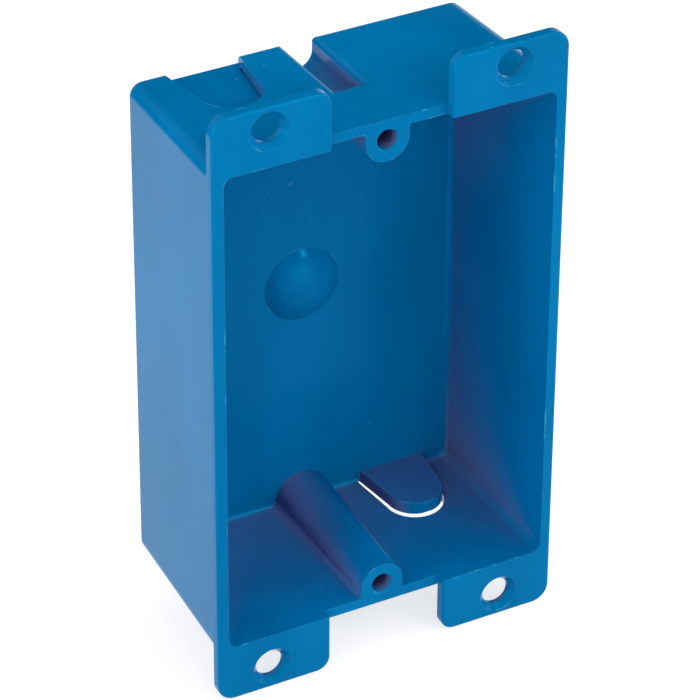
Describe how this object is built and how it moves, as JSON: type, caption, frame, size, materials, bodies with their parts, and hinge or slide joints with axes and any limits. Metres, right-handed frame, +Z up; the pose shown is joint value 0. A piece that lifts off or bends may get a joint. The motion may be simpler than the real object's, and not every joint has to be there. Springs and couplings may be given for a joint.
{
  "type": "drywall back box",
  "caption": "Shallow open moulded box for one switch or socket in an existing wall, with four screw ears, two device screw bosses and two cable tabs.",
  "frame": {"origin": "midway between the two device screw holes, in the plane of their boss faces, which is also the front face of the drywall", "axes": "+X across the width, +Y into the wall cavity towards the closed back (the mouth faces -Y), +Z up along the height"},
  "size_m": [0.0612, 0.0318, 0.108],
  "materials": {
    "moulded_plastic": "semi-gloss blue rigid PVC as moulded, with faint flow lines, small scuffs and rounded edges"
  },
  "bodies": {
    "root": {"box_body": "moulded_plastic"}
  },
  "joints": []
}
